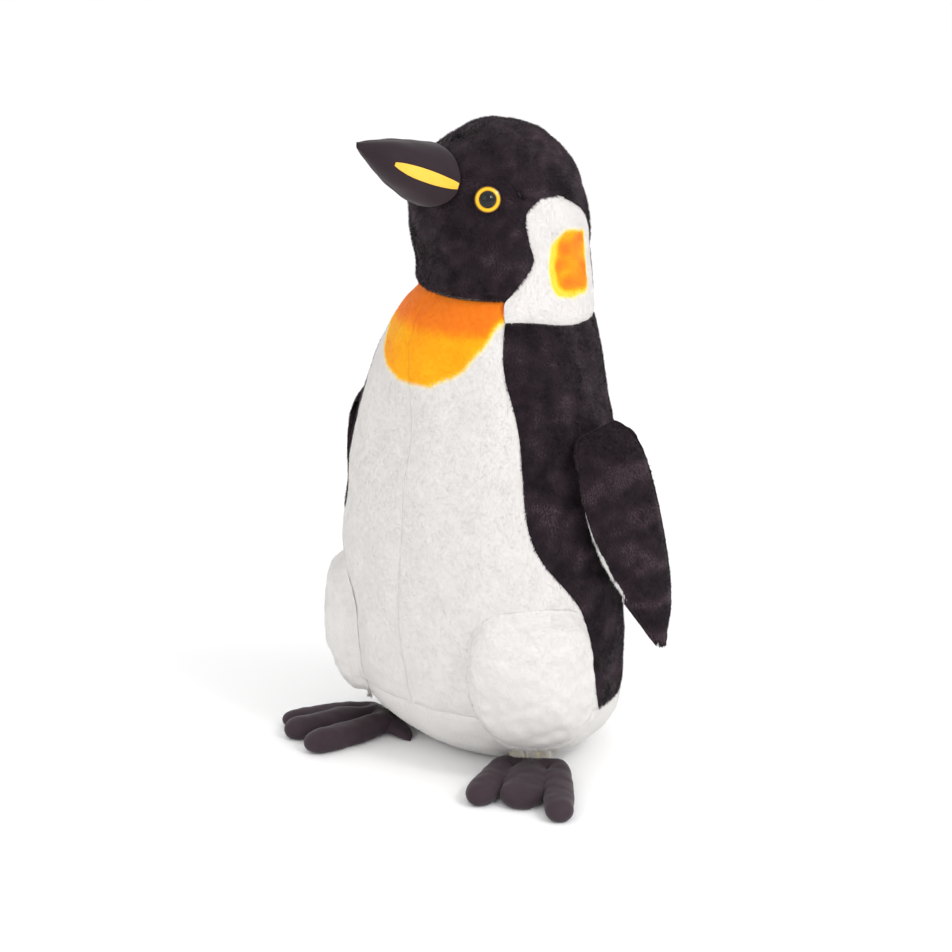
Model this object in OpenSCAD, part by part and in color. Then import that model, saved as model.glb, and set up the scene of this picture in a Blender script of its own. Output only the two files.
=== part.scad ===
// Plush penguin: sewn fabric panels over stuffing, with turned head, flippers and three-toed feet.
// The penguin faces -Y, its own left side is +X, and +Z is up.
// The origin is the centre of the flat face under the body that it sits on.

/* [Body] */
// Height from the floor to the crown
height = 600; // [540:10:660]
// Widest width of the body, without the flippers
body_w = 288; // [260:2:310]
// Deepest depth of the body, from the belly to the back
body_d = 234; // [220:2:250]
// Thickness of a plush panel, cloth and pile
plush_t = 3; // [2:0.5:4]
// Clear width left between two panels at a seam
seam = 1; // [0.8:0.1:1.4]
// Clear space between a panel and what fills it
ease = 2.2; // [2:0.1:3]

/* [Head] */
// Turn of the head, negative to the penguin's right
head_turn = -19; // [-30:1:30]
// Reach of the beak's tip in front of the body's axis
beak_reach = 125; // [110:1:140]
// How far the beak's tip lies below the top of the crown
beak_drop = 15; // [10:1:25]
// Width of the yellow stripe on the beak
stripe_w = 8; // [6:1:13]
// Diameter of the yellow part of an eye
eye_d = 24; // [18:1:26]
// Diameter of the black pupil
pupil_d = 15; // [10:1:17]
// Diameter of an eye's stem
stem_d = 5; // [4:0.5:6]

/* [Thighs] */
// How far a thigh pad stands out from the body
thigh_bulge = 16; // [8:1:22]
// Height of a thigh pad
thigh_h = 146; // [120:2:150]

/* [Flippers] */
// Length of a flipper from shoulder seam to tip
flipper_len = 222; // [180:2:240]
// Thickness of a stuffed flipper
flipper_t = 18; // [12:1:20]
// Backward sweep of a hanging flipper, in degrees
flipper_sweep = 14; // [5:0.5:18]

/* [Feet] */
// Height of a stuffed toe
toe_h = 20; // [18:1:22]
// Width of a slim toe at its tip; each toe adds its own share
toe_w = 26; // [22:1:28]

/* [Hidden] */

WHITE = "whitesmoke";
BLACK = "#2a2528";
CHARCOAL = "#3d3439";
YELLOW = "#f8c23c";
WADDING = "ivory";

// Heights in the tables below are for a toy 600 mm tall, and stretch with it
stretch_z = height/600;
function stretched(rows, column) =
    [for (r = rows) [for (c = [0:len(r) - 1]) c == column ? r[c]*stretch_z : r[c]]];

// Cross-sections: height, half width, front depth, back depth, shift back,
// as shares of height, half body_w and half body_d (shift in mm)
SECTIONS = [
    [0.000, 0.38, 0.29, 0.62, 0],
    [0.017, 0.65, 0.45, 0.94, 0],
    [0.037, 0.82, 0.59, 1.08, 0],
    [0.067, 0.93, 0.73, 1.11, 0],
    [0.117, 0.99, 0.88, 1.08, 0],
    [0.217, 1.00, 0.98, 1.03, 0],
    [0.333, 1.01, 0.98, 1.01, 0],
    [0.450, 0.97, 0.93, 0.99, 0],
    [0.550, 0.88, 0.84, 0.98, 0],
    [0.633, 0.77, 0.77, 0.99, 0],
    [0.700, 0.64, 0.64, 0.97, 0],
    [0.767, 0.53, 0.47, 0.96, 0],
    [0.842, 0.51, 0.54, 0.93, 0],
    [0.908, 0.46, 0.56, 0.84, 1],
    [0.958, 0.37, 0.49, 0.62, 6],
    [0.987, 0.23, 0.32, 0.38, 12],
    [1.000, 0.04, 0.05, 0.05, 15]
];
// The neck turns between these two heights
NECK_LOW = 0.567*height;
NECK_HIGH = 0.75*height;

// Seams: angles are from the front towards the penguin's left
base_seam_z = 0.107*height;
hood_seam_z = 0.75*height;
// Where belly meets back: height, angle
BACK_EDGE = stretched([
    [64, 94], [110, 87], [160, 82], [185, 76], [205, 64], [245, 54],
    [330, 52], [375, 53], [400, 58], [420, 66], [431, 70], [460, 70]
], 0);
// Where hood meets cheek, and cheek meets nape: height, angle
CHEEK_FRONT = stretched([
    [420, 70], [446, 71], [456, 82], [466, 92], [480, 98], [496, 95],
    [518, 93], [529, 96], [535, 104], [570, 104]
], 0);
CHEEK_BACK = stretched([
    [420, 158], [498, 158], [512, 150], [521, 139], [531, 127], [535, 116], [540, 116]
], 0);
cheek_top_z = 535*stretch_z;
// Where cheek and nape meet the back: angle, height
COLLAR = stretched([[60, 431], [80, 431], [95, 428], [106, 423], [120, 420], [180, 420]], 1);
collar_side_z = 431*stretch_z;
collar_low_z = 420*stretch_z;
// Lower edge of the crown: high over the eyes, low behind the cheeks, with a short ramp between
crown_front_z = 556*stretch_z;
crown_back_z = 536*stretch_z;
crown_ramp_start = 76;
crown_ramp_end = 96;
// The crown and the head's filling close just short of the very top
crown_end = 0.985;
filling_end = 0.975;

// Beak's outline on the head: middle height, half height, half angle
beak_mid_z = 553*stretch_z;
beak_half_h = 27.5;
beak_half_angle = 45;

eye_angle = 64;
eye_z = 538*stretch_z;

thigh_angle = 57.5;
thigh_half_angle = 29.5;
thigh_mid_z = 105*stretch_z;

// Flipper's shoulder: direction it faces, reach from the axis, place along the body, height
flipper_face = 76.5;
shoulder_reach = 138;
shoulder_along = 40;
shoulder_z = 338*stretch_z;
// Flipper's outline: share of length, then reach in front of and behind its middle line
FLIPPER = [
    [0.00, 34, 16], [0.08, 42, 28], [0.22, 49, 31], [0.38, 50, 30], [0.58, 42, 28],
    [0.80, 22, 22], [0.93, 9, 12], [1.00, 2, 2]
];

// Feet, from inner to outer toe: the toe's root on the ankle seam, then for the left and the
// right foot the length to the middle of its tip, its outward turn, how much wider than toe_w
// and how much lower than toe_h it is, and the radius of its root. The left foot's toes are
// curled a little shorter and spread wider, and its middle toe is flattened.
TOE_ROOTS = [[77, -54], [99, -40], [120, -26]];
TOE_LENGTHS = [[64, 56, 86], [78, 84, 84]];
TOE_TURNS = [[21, 31, 39], [12, 22, 23]];
TOE_WIDTHS = [[3, 16, 1], [3, 5, 0]];
TOE_DROPS = [[0, 0, 0], [0, 1, 5]];
ROOT_RADII = [[10, 10, 10], [10, 8.5, 5.5]];
// A toe swells by this much at this share of its length
toe_swell = 3;
swell_share = 0.45;
toe_sink = 2;
web_h = 9;

// Points in each ring of a closed form
RING = 40;

function mix(a, b, t) = a + (b - a)*t;
function ease_in_out(t) = let(k = min(1, max(0, t))) k*k*(3 - 2*k);
function unit(v) = v/norm(v);

// Smooth curve through rows of [x, values...]: column c at x
function slope(rows, k, c) =
    let(lo = max(0, k - 1), hi = min(len(rows) - 1, k + 1))
    (rows[hi][c] - rows[lo][c])/(rows[hi][0] - rows[lo][0]);
function spline(rows, x, c) =
    let(
        xc = min(rows[len(rows) - 1][0], max(rows[0][0], x)),
        k = max([for (i = [0:len(rows) - 2]) if (rows[i][0] <= xc) i]),
        h = rows[k + 1][0] - rows[k][0],
        t = (xc - rows[k][0])/h
    )
    (2*t*t*t - 3*t*t + 1)*rows[k][c] + (t*t*t - 2*t*t + t)*h*slope(rows, k, c)
    + (3*t*t - 2*t*t*t)*rows[k + 1][c] + (t*t*t - t*t)*h*slope(rows, k + 1, c);

// Station along the profile, spaced closely where the body closes at its two ends
function station(z) = acos(1 - 2*z/height)/180;
function station_z(s) = height*(1 - cos(180*min(1, max(0, s))))/2;
PROFILE = [for (r = SECTIONS) [
    station(r[0]*height), r[1]*body_w/2, r[2]*body_d/2, r[3]*body_d/2, r[4]
]];
function neck_turn(z) = head_turn*ease_in_out((z - NECK_LOW)/(NECK_HIGH - NECK_LOW));
function turned(p, a) = [p[0]*cos(a) - p[1]*sin(a), p[0]*sin(a) + p[1]*cos(a), p[2]];

// Point of the body's outside at an angle and a station
function outside(angle, s) =
    let(
        depth = spline(PROFILE, s, cos(angle) > 0 ? 2 : 3),
        z = station_z(s),
        x = spline(PROFILE, s, 1)*sin(angle),
        y = spline(PROFILE, s, 4) - depth*cos(angle)
    )
    turned([x, y, z], neck_turn(z));
function outward(angle, s) = unit(cross(
    outside(angle + 2, s) - outside(angle - 2, s),
    outside(angle, min(1, s + 0.01)) - outside(angle, max(0, s - 0.01))
));
// The same point at a depth under the outside, or above it if the depth is negative
function under(angle, z, depth) = outside(angle, station(z)) - depth*outward(angle, station(z));
function heights(low, high, n) =
    [for (i = [0:n]) station_z(mix(station(low), station(high), i/n))];

// Wall faces between the rows of a grid of points
function wall(rows, cols, wrap, flip, first) = [
    for (r = [0:rows - 2]) for (c = [0:(wrap ? cols : cols - 1) - 1])
    let(a = first + r*cols + c, b = first + r*cols + (c + 1)%cols, d = a + cols, e = b + cols)
    each (flip ? [[a, b, d], [b, e, d]] : [[a, d, b], [b, d, e]])
];
function run(first, count, step) = [for (i = [0:count - 1]) first + i*step];

// Shell between an outer and an inner grid of points: open sheet, ring, or cup with a closed end
module shell(outer, inner, ring = false, close_low = false, close_high = false) {
    rows = len(outer);
    cols = len(outer[0]);
    n = rows*cols;
    top = n - cols;
    edges = ring ? cols : cols - 1;
    low_rim = close_low
        ? [run(0, cols, 1), run(n + cols - 1, cols, -1)]
        : [for (c = [0:edges - 1]) let(b = (c + 1)%cols) each [[c, b, b + n], [c, b + n, c + n]]];
    high_rim = close_high
        ? [run(n - 1, cols, -1), run(n + top, cols, 1)]
        : [for (c = [0:edges - 1]) let(d = top + c, e = top + (c + 1)%cols)
            each [[e, d, d + n], [e, d + n, e + n]]];
    side_rims = ring ? [] : [for (r = [0:rows - 2])
        let(a = r*cols, d = a + cols, b = a + cols - 1, e = b + cols)
        each [[d, a, a + n], [d, a + n, d + n], [b, e, e + n], [b, e + n, b + n]]];
    polyhedron(
        [for (r = outer) each r, for (r = inner) each r],
        concat(wall(rows, cols, ring, false, 0), wall(rows, cols, ring, true, n),
            low_rim, high_rim, side_rims),
        convexity = 6
    );
}

// Solid through rings of points, closed flat at both ends
module loft(rings) {
    rows = len(rings);
    cols = len(rings[0]);
    polyhedron(
        [for (r = rings) each r],
        concat(wall(rows, cols, true, false, 0),
            [run(0, cols, 1), run(rows*cols - 1, cols, -1)]),
        convexity = 4
    );
}

// Panel of the body: place(u, v) gives the angle and height for shares u and v
module panel(place, columns, rows) {
    function sheet(depth) = [for (j = [0:rows]) [for (i = [0:columns])
        let(p = place(i/columns, j/rows)) under(p[0], p[1], depth)]];
    shell(sheet(0), sheet(plush_t));
}

// Half a side seam's width as an angle, in degrees
function seam_angle() = 0.35*seam;

// Sheet of the body: side is 1 on the penguin's left and -1 on its right
module side_panel(side, place, columns, rows) {
    panel(function(u, v) let(p = place(side > 0 ? u : 1 - u, v)) [side*p[0], p[1]],
        columns, rows);
}

// Rows of the belly and the back meet along the seam between them, up to the collar
SIDE_ROWS = 15;
THROAT_ROWS = 2;
panel_low_z = base_seam_z + seam/2;
function side_row_z(j) =
    station_z(mix(station(panel_low_z), station(collar_side_z - seam/2), j/SIDE_ROWS));

module belly(side) {
    rows = SIDE_ROWS + THROAT_ROWS;
    color(WHITE)
    side_panel(side, function(u, v)
        let(
            j = v*rows,
            z = j <= SIDE_ROWS ? side_row_z(j)
                : mix(collar_side_z - seam/2, hood_seam_z - seam/2, (j - SIDE_ROWS)/THROAT_ROWS)
        )
        [mix(seam_angle(), spline(BACK_EDGE, z, 1) - seam_angle(), u), z],
        9, rows);
}

module back(side) {
    color(BLACK)
    side_panel(side, function(u, v)
        let(
            z0 = side_row_z(v*SIDE_ROWS),
            share = (z0 - panel_low_z)/(collar_side_z - seam/2 - panel_low_z),
            a = mix(spline(BACK_EDGE, z0, 1) + seam_angle(), 180 - seam_angle(), u),
            z = mix(panel_low_z, spline(COLLAR, a, 1) - seam/2, share)
        )
        [mix(spline(BACK_EDGE, z, 1) + seam_angle(), 180 - seam_angle(), u), z],
        13, SIDE_ROWS);
}

module base_gusset() {
    zs = heights(0, base_seam_z - seam/2, 7);
    function cup(depth) = [for (z = zs) [for (i = [0:RING - 1]) under(360*i/RING, z, depth)]];
    color(WHITE)
    shell(cup(0), cup(plush_t), ring = true, close_low = true);
}

function crown_edge(angle) =
    mix(crown_back_z, crown_front_z,
        ease_in_out((crown_ramp_end - abs(angle))/(crown_ramp_end - crown_ramp_start)));

module hood(side) {
    color(BLACK)
    difference() {
        side_panel(side, function(u, v)
            let(
                low = hood_seam_z + seam/2,
                z0 = mix(low, crown_back_z, v),
                a0 = mix(0, spline(CHEEK_FRONT, z0, 1), u),
                z = mix(low, crown_edge(a0) - seam/2, v)
            )
            [mix(seam_angle(), spline(CHEEK_FRONT, z, 1) - 2*seam_angle(), u), z],
            13, 10);
        eye_place(side) cylinder(d = stem_d + stem_slack, h = 6*plush_t, center = true, $fn = 24);
    }
}

module crown() {
    steps = 6;
    function cap(depth) = [for (j = [0:steps]) [for (i = [0:RING - 1])
        let(
            a = 360*i/RING,
            low = station(crown_edge(a > 180 ? 360 - a : a) + seam/2),
            s = mix(low, crown_end, j/steps)
        )
        outside(a, s) - depth*outward(a, s)]];
    color(BLACK)
    shell(cap(0), cap(plush_t), ring = true, close_high = true);
}

// Rows of a cheek and of the nape meet along the seam between them
CHEEK_ROWS = 13;

module cheek(side) {
    color(WHITE)
    side_panel(side, function(u, v)
        let(
            top = cheek_top_z - seam/2,
            z0 = mix(collar_low_z, top, v),
            a0 = mix(spline(CHEEK_FRONT, z0, 1), spline(CHEEK_BACK, z0, 1), u),
            z = mix(spline(COLLAR, a0, 1) + seam/2, top, v)
        )
        [mix(spline(CHEEK_FRONT, z, 1) + seam_angle(), spline(CHEEK_BACK, z, 1) - seam_angle(), u), z],
        9, CHEEK_ROWS);
}

module nape() {
    color(BLACK)
    panel(function(u, v)
        let(
            z = mix(collar_low_z + seam/2, cheek_top_z - seam/2, v),
            edge = spline(CHEEK_BACK, z, 1) + seam_angle()
        )
        [mix(edge, 360 - edge, u), z],
        8, CHEEK_ROWS);
}

// What fills the body: pellets low down, then wadding in two blocks, with a gap between them
pellet_top = 0.058*height;
stuffing_split = 0.72*height;
block_gap = 1;
filling_depth = plush_t + ease;

// Point at a height, at a depth under the outside; each pass brings it nearer to that height
function inside(angle, z, depth, from, passes) =
    let(p = under(angle, min(height, max(0, from)), depth))
    passes == 0 ? [p[0], p[1], z] : inside(angle, z, depth, from + z - p[2], passes - 1);

// Block of filling between two heights, made of level rings
module level_block(low, high, n) {
    loft([for (z = heights(low, high, n))
        [for (i = [0:RING - 1]) inside(360*i/RING, z, filling_depth, z, 4)]]);
}

module pellet_bag() {
    color("tan")
    level_block(plush_t + ease + 0.3, pellet_top, 4);
}

module body_stuffing() {
    color(WADDING)
    level_block(pellet_top + block_gap, stuffing_split, 12);
}

module head_stuffing() {
    rows = 12;
    low = station(stuffing_split + block_gap);
    color(WADDING)
    difference() {
        loft([for (j = [0:rows])
            let(z = station_z(mix(low, filling_end, j/rows)))
            [for (i = [0:RING - 1]) j < rows
                ? inside(360*i/RING, z, filling_depth, z, 4)
                : under(360*i/RING, z, filling_depth)]]);
        for (side = [-1, 1]) eye_place(side) translate([0, 0, -stem_len - block_gap])
            cylinder(d = washer_d + 1, h = stem_len + block_gap, $fn = 32);
    }
}

// Eyes: local +Z is straight out of the head, and z = 0 is the plush panel's outside
stem_len = 15;
stem_slack = 0.2;
washer_d = 18;
washer_t = 2;
iris_t = 3;
eye_gap = 0.2;
pupil_rise = 4;

module eye_place(side) {
    s = station(eye_z);
    angle = side*eye_angle;
    n = outward(angle, s);
    u = unit(cross([0, 0, 1], n));
    w = cross(n, u);
    p = outside(angle, s);
    multmatrix([
        [u[0], w[0], n[0], p[0]],
        [u[1], w[1], n[1], p[1]],
        [u[2], w[2], n[2], p[2]],
        [0, 0, 0, 1]
    ]) children();
}

module eye_iris(side) {
    color(YELLOW)
    eye_place(side) {
        translate([0, 0, eye_gap]) rotate_extrude($fn = 48) polygon([
            [0, 0], [eye_d/2 - 0.8, 0], [eye_d/2, 0.8], [eye_d/2 - 0.4, 1.8],
            [pupil_d/2 + 1, iris_t], [0, iris_t]
        ]);
        translate([0, 0, -stem_len]) cylinder(d = stem_d, h = stem_len + 0.5, $fn = 24);
    }
}

module eye_pupil(side) {
    r = pupil_d/2;
    ball = (r*r + pupil_rise*pupil_rise)/(2*pupil_rise);
    color("black")
    eye_place(side) translate([0, 0, eye_gap + iris_t + 0.05]) intersection() {
        translate([0, 0, pupil_rise - ball]) sphere(r = ball, $fn = 48);
        cylinder(r = r + 1, h = pupil_rise + 1, $fn = 48);
    }
}

module eye_washer(side) {
    color("white")
    eye_place(side) translate([0, 0, -filling_depth - washer_t]) difference() {
        cylinder(d = washer_d, h = washer_t, $fn = 32);
        translate([0, 0, -1]) cylinder(d = stem_d + stem_slack/2, h = washer_t + 2, $fn = 24);
    }
}

// Beak: curves from its outline on the head to the tip; a is 0 underneath and 180 on top,
// t is 0 at the head and 1 at the tip, k shrinks the whole form for its lining and filling
beak_axis = turned([0, -1, 0], head_turn);
beak_across = turned([1, 0, 0], head_turn);
beak_tip = beak_axis*beak_reach + [0, 0, height - beak_drop];
// Clearance over the head, how far the lining's tip falls back, and how far the beak bows
// outwards: the mean of its top and underside, what the underside has more, and the sides
beak_lift = 0.8;
beak_fill_lift = 1.4;
beak_setback = 60;
beak_bow = 8.5;
beak_bow_under = 4;
beak_bow_side = 12;
beak_blunt = 2.4;

function beak(a, t, k = 1, lift = beak_lift) =
    let(
        wide = sign(sin(a))*pow(abs(sin(a)), 0.8),
        root = under(k*beak_half_angle*wide, beak_mid_z - k*beak_half_h*cos(a), -lift),
        radial = beak_across*sin(a) - [0, 0, 1]*cos(a),
        tip = beak_tip - beak_setback*(1 - k)*beak_axis + k*beak_blunt*radial,
        bow = mix(beak_bow + beak_bow_under*cos(a), beak_bow_side, pow(sin(a), 2)),
        bend = (root + tip)/2 + k*bow*radial
    )
    (1 - t)*(1 - t)*root + 2*t*(1 - t)*bend + t*t*tip;

beak_wall = 0.94;
beak_core = 0.91;

module beak_side(side) {
    from = side > 0 ? 1 : -179;
    function sheet(k) = [for (j = [0:10]) [for (i = [0:12]) beak(from + 178*i/12, j/10, k)]];
    color(CHARCOAL)
    shell(sheet(1), sheet(beak_wall));
}

module beak_stuffing() {
    function ring(k, t) = [for (i = [0:23]) beak(15*i, t, k, beak_fill_lift)];
    color(WADDING)
    loft(concat(
        [for (k = [0.1, 0.4, 0.7]) ring(k, 0)],
        [for (j = [0:8]) ring(beak_core, 0.95*j/8)]
    ));
}

// Yellow spindle along the mouth line, from the beak's rear corner to past its middle
stripe_start = 0.03;
stripe_end = 0.66;
stripe_back_a = 79;
stripe_front_a = 73;
module beak_stripe(side) {
    across = 4;
    along = 14;
    function place(u, v, lift) =
        let(
            t = mix(stripe_start, stripe_end, v),
            half = 5.4 + 0.68*stripe_w*pow(sin(180*v), 0.7)/(1 - 0.62*v),
            a = mix(stripe_back_a, stripe_front_a, v) + mix(-half, half, side > 0 ? u : 1 - u),
            p = beak(side*a, t),
            du = beak(side*(a + 2), t) - beak(side*(a - 2), t),
            dt = beak(side*a, t + 0.02) - beak(side*a, t - 0.02)
        )
        p + lift*side*unit(cross(du, dt));
    function sheet(lift) = [for (j = [0:along]) [for (i = [0:across])
        place(i/across, j/along, lift)]];
    color(YELLOW)
    shell(sheet(1.1), sheet(0.3));
}

// Thigh: a padded cover on the hip with a rounded outline; r runs from its middle to its edge.
// It bulges less towards its lower edge.
thigh_taper = 0.35;
function thigh_point(side, a, r, lift) =
    let(
        x = sign(cos(a))*pow(abs(cos(a)), 0.65),
        z = sign(sin(a))*pow(abs(sin(a)), 0.65)
    )
    under(side*(thigh_angle + r*thigh_half_angle*x), thigh_mid_z + r*z*thigh_h/2,
        -lift*(1 + min(0, r*z)*thigh_taper));
function dome(r) = thigh_bulge*pow(max(0, 1 - pow(r, 2.5)), 0.6);
function thigh_sheet(side, rs, lift) = [for (r = rs) [for (i = [0:23])
    thigh_point(side, -side*15*i, r, lift(r))]];

thigh_ease = 1;
THIGH_STEPS = [0.15, 0.4, 0.62, 0.8, 0.92, 1];

module thigh_cover(side) {
    color(WHITE)
    shell(
        thigh_sheet(side, THIGH_STEPS, function(r) thigh_ease + plush_t + dome(r)),
        thigh_sheet(side, THIGH_STEPS, function(r) thigh_ease + dome(r)),
        ring = true, close_low = true
    );
}

module thigh_padding(side) {
    steps = [for (i = [0:4]) THIGH_STEPS[i]];
    color(WADDING)
    shell(
        thigh_sheet(side, steps, function(r) thigh_ease + dome(r) - 1),
        thigh_sheet(side, steps, function(r) thigh_ease),
        ring = true, close_low = true
    );
}

// Flipper: point at a share of its length, from -1 at the front edge to 1 at the rear edge,
// at a share of its half thickness
flipper_skin = 2.2;
flipper_edge = 2.5;
flipper_lean = 20;
flipper_tuck = 7;
flipper_tuck_len = 25;
function flipper_half(u, share) =
    flipper_edge + (flipper_t/2 - flipper_edge)*pow(max(0, 1 - u*u), 0.6)
    *min(1, 0.1 + 6*share)*min(1, 2.4*(1 - share) + 0.1);
function flipper_point(share, u, out) =
    let(
        drop = share*flipper_len,
        o = u < 0 ? u*spline(FLIPPER, share, 1) : u*spline(FLIPPER, share, 2),
        tuck = flipper_tuck*pow(max(0, 1 - drop/flipper_tuck_len), 2),
        reach = shoulder_reach + flipper_lean*(1 - pow(1 - share, 3)) - tuck + out,
        along = shoulder_along + drop*sin(flipper_sweep) + o*cos(flipper_sweep)
    )
    reach*[sin(flipper_face), -cos(flipper_face), 0]
    + along*[cos(flipper_face), sin(flipper_face), 0]
    + [0, 0, shoulder_z - drop*cos(flipper_sweep) + o*sin(flipper_sweep)];
FLIPPER_ROWS = 12;
FLIPPER_COLUMNS = 7;
// Grid over the flipper, from its tip up, so that its faces look outwards
function flipper_sheet(lift, reach_u = 1, high = 1, low = 0) =
    [for (j = [0:FLIPPER_ROWS]) [for (i = [0:FLIPPER_COLUMNS])
        let(
            share = mix(high, low, j/FLIPPER_ROWS),
            u = reach_u*mix(-1, 1, i/FLIPPER_COLUMNS)
        )
        flipper_point(share, u, lift(u, share))]];

module sided(side) {
    if (side > 0) {
        children();
    } else {
        mirror([1, 0, 0]) children();
    }
}

module flipper_outer(side) {
    color(BLACK)
    sided(side) shell(
        flipper_sheet(function(u, s) flipper_half(u, s)),
        flipper_sheet(function(u, s) max(0.3, flipper_half(u, s) - flipper_skin))
    );
}

module flipper_inner(side) {
    color(WHITE)
    sided(side) shell(
        flipper_sheet(function(u, s) -max(0.3, flipper_half(u, s) - flipper_skin)),
        flipper_sheet(function(u, s) -flipper_half(u, s))
    );
}

module flipper_stuffing(side) {
    core = 0.8;
    high = 0.88;
    low = 0.06;
    clear = 1;
    function half(u, s) = flipper_half(u, s) - flipper_skin - clear;
    color(WADDING)
    sided(side) shell(
        flipper_sheet(function(u, s) half(u, s), core, high, low),
        flipper_sheet(function(u, s) -half(u, s), core, high, low)
    );
}

// Foot: three toes side by side on the ankle seam with a low web between, flat underneath
function toe_at(k, side, share) =
    let(
        foot = side > 0 ? 0 : 1,
        a = TOE_TURNS[foot][k],
        reach = share*TOE_LENGTHS[foot][k]
    )
    TOE_ROOTS[k] + reach*[sin(a), -cos(a)];
function toe_width(k, side) = toe_w + TOE_WIDTHS[side > 0 ? 0 : 1][k];

module root_ball(k, side, inset) {
    r = ROOT_RADII[side > 0 ? 0 : 1][k];
    translate([TOE_ROOTS[k][0], TOE_ROOTS[k][1], r]) sphere(r = r - inset, $fn = 10);
}

// Flattened ball of a toe, lying a little under the floor where the sole cuts it off
module toe_ball(k, side, share, width, inset) {
    high = toe_h - TOE_DROPS[side > 0 ? 0 : 1][k];
    half_h = (high + toe_sink)/2 - inset;
    stretch = (width/2 - inset)/half_h;
    p = toe_at(k, side, share);
    translate([p[0], p[1], (high - toe_sink)/2])
        scale([stretch, stretch, 1]) sphere(r = half_h, $fn = 14);
}

module toe(k, side, inset) {
    width = toe_width(k, side);
    hull() {
        root_ball(k, side, inset);
        toe_ball(k, side, swell_share, width + toe_swell, inset);
        toe_ball(k, side, 1, width, inset);
    }
}

module palm(side, inset) {
    hull() for (k = [0:2]) root_ball(k, side, inset);
}

module web(side, inset) {
    hull() for (k = [0:2], share = [0.1, 0.5]) {
        p = toe_at(k, side, share);
        translate([p[0], p[1], 0]) sphere(r = web_h - inset, $fn = 8);
    }
}

module foot_form(side, inset) {
    for (k = [0:2]) toe(k, side, inset);
    palm(side, inset);
    web(side, inset);
}

// Keeps what lies between two heights
module slab(low, high) {
    intersection() {
        children();
        translate([0, -200, low]) cube([300, 300, high - low]);
    }
}

sole_t = 2;
foot_skin = 2;

module foot_top(side) {
    color(CHARCOAL)
    sided(side) slab(sole_t + 0.2, 40) difference() {
        foot_form(side, 0);
        foot_form(side, foot_skin);
    }
}

module foot_sole(side) {
    color(CHARCOAL)
    sided(side) slab(0, sole_t) foot_form(side, 0);
}

module foot_stuffing(side) {
    color(WADDING)
    sided(side) slab(sole_t + 0.5, 40) foot_form(side, foot_skin + 0.5);
}

belly(1);  // belly_left
belly(-1);  // belly_right
back(1);  // back_left
back(-1);  // back_right
base_gusset();
hood(1);  // hood_left
hood(-1);  // hood_right
crown();
nape();
cheek(1);  // cheek_left
cheek(-1);  // cheek_right
body_stuffing();
head_stuffing();
pellet_bag();
beak_side(1);  // beak_left
beak_side(-1);  // beak_right
beak_stuffing();
beak_stripe(1);  // beak_stripe_left
beak_stripe(-1);  // beak_stripe_right
eye_iris(1);  // eye_iris_left
eye_iris(-1);  // eye_iris_right
eye_pupil(1);  // eye_pupil_left
eye_pupil(-1);  // eye_pupil_right
eye_washer(1);  // eye_washer_left
eye_washer(-1);  // eye_washer_right
thigh_cover(1);  // thigh_cover_left
thigh_cover(-1);  // thigh_cover_right
thigh_padding(1);  // thigh_padding_left
thigh_padding(-1);  // thigh_padding_right
flipper_outer(1);  // flipper_outer_left
flipper_outer(-1);  // flipper_outer_right
flipper_inner(1);  // flipper_inner_left
flipper_inner(-1);  // flipper_inner_right
flipper_stuffing(1);  // flipper_stuffing_left
flipper_stuffing(-1);  // flipper_stuffing_right
foot_top(1);  // foot_top_left
foot_top(-1);  // foot_top_right
foot_sole(1);  // foot_sole_left
foot_sole(-1);  // foot_sole_right
foot_stuffing(1);  // foot_stuffing_left
foot_stuffing(-1);  // foot_stuffing_right
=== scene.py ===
import math

import bmesh
import bpy
import numpy as np
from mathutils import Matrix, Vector
from mathutils.bvhtree import BVHTree
from mathutils.kdtree import KDTree


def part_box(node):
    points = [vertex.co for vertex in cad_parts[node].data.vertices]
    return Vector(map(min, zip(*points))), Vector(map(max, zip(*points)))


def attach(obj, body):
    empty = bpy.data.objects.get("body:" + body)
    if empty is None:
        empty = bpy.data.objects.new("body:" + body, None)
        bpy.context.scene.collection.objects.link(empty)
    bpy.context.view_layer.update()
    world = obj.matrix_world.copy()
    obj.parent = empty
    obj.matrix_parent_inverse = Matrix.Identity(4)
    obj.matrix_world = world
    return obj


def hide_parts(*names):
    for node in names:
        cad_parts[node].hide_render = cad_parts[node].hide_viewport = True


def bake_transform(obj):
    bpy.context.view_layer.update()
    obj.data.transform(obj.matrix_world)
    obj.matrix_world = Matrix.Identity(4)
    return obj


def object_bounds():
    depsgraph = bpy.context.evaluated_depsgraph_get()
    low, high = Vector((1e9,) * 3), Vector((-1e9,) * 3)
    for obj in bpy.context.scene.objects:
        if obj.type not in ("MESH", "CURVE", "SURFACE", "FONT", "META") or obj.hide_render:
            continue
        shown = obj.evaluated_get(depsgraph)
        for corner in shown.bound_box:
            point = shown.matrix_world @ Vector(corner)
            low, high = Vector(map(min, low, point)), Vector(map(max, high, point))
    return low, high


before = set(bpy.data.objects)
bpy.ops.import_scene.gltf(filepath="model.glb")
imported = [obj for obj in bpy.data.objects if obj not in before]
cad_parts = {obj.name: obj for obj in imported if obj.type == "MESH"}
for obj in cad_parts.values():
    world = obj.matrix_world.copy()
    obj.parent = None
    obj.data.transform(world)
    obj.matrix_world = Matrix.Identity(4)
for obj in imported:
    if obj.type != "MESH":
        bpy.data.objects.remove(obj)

cad_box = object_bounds()
MM = 0.001
WELD = 0.02 * MM

# ---------------- places taken from the frame


def mesh_points(mesh):
    points = np.zeros(len(mesh.vertices) * 3)
    mesh.vertices.foreach_get("co", points)
    return points.reshape(-1, 3)


def mesh_quads(mesh):
    corners = np.zeros(len(mesh.loops), np.int64)
    mesh.loops.foreach_get("vertex_index", corners)
    return corners.reshape(-1, 4)


def node_points(node):
    return mesh_points(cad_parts[node].data)


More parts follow.
